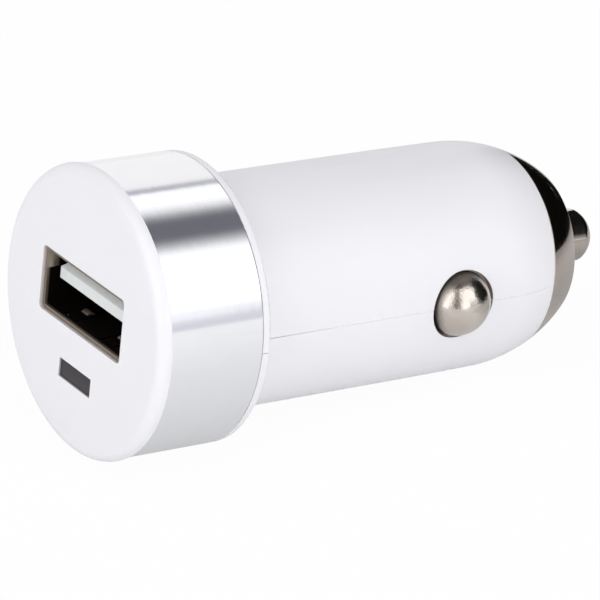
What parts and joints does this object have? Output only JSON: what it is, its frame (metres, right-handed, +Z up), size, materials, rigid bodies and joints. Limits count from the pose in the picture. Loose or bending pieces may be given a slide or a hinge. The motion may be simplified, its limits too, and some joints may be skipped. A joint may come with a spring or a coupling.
{
  "type": "car charger plug",
  "caption": "Car charger plug with one socket, a metal ring, a round barrel with sprung side contacts and a sprung centre pin.",
  "frame": {"origin": "on the floor under the middle of the plug's box, the plug lying on its flange and tail", "axes": "+X along the plug towards its centre pin, which points 5.4 degrees down; +Y towards the left contact; +Z up"},
  "size_m": [0.0554, 0.026, 0.0266],
  "materials": {
    "cap_white": "satin white",
    "housing_white": "satin white",
    "ring_aluminium": "polished along the axis",
    "nickel_plate": "bright nickel plate",
    "spring_wire": "drawn wire",
    "strip_brass": "tinned brass strip",
    "board_laminate": "green solder mask",
    "shield_tin": "tin-plated sheet",
    "tongue_plastic": "pale moulded insulator",
    "contact_gold": "plated contact",
    "lamp_plastic": "smoked lens",
    "can_aluminium": "bare can",
    "choke_ferrite": "ferrite",
    "winding_copper": "enamelled copper",
    "chip_black": "moulded chip body",
    "fuse_ceramic": "ceramic chip"
  },
  "bodies": {
    "housing": {"face_cap": "cap_white", "trim_ring": "ring_aluminium", "upper_housing": "housing_white", "lower_housing": "housing_white", "nose_ring": "nickel_plate", "pin_spring": "spring_wire", "positive_strip": "strip_brass", "left_spring": "spring_wire", "right_spring": "spring_wire", "ground_strip": "strip_brass", "circuit_board": "board_laminate", "socket_shield": "shield_tin", "socket_tongue": "tongue_plastic", "socket_contact_1": "contact_gold", "socket_contact_2": "contact_gold", "socket_contact_3": "contact_gold", "socket_contact_4": "contact_gold", "indicator_lamp": "lamp_plastic", "indicator_leads": "spring_wire", "input_capacitor": "can_aluminium", "output_capacitor": "can_aluminium", "choke_core": "choke_ferrite", "choke_winding": "winding_copper", "converter_chip": "chip_black", "rectifier_diode": "chip_black", "input_fuse": "fuse_ceramic", "chip_resistors": "chip_black"},
    "center_pin": {"center_pin": "nickel_plate"},
    "left_contact": {"left_contact": "nickel_plate"},
    "right_contact": {"right_contact": "nickel_plate"}
  },
  "joints": [
    {"name": "center_pin_slide", "type": "slide", "parent": "housing", "child": "center_pin", "axis": [-0.996, 0, 0.0897], "range_m": [0, 0.003], "stiffness_N_per_m": 1500, "springref_m": -0.001, "deforming": ["pin_spring"]},
    {"name": "left_contact_slide", "type": "slide", "parent": "housing", "child": "left_contact", "axis": [0, -1, 0], "range_m": [0, 0.002], "stiffness_N_per_m": 1200, "springref_m": -0.001, "deforming": ["left_spring"]},
    {"name": "right_contact_slide", "type": "slide", "parent": "housing", "child": "right_contact", "axis": [0, 1, 0], "range_m": [0, 0.002], "stiffness_N_per_m": 1200, "springref_m": -0.001, "deforming": ["right_spring"]}
  ]
}
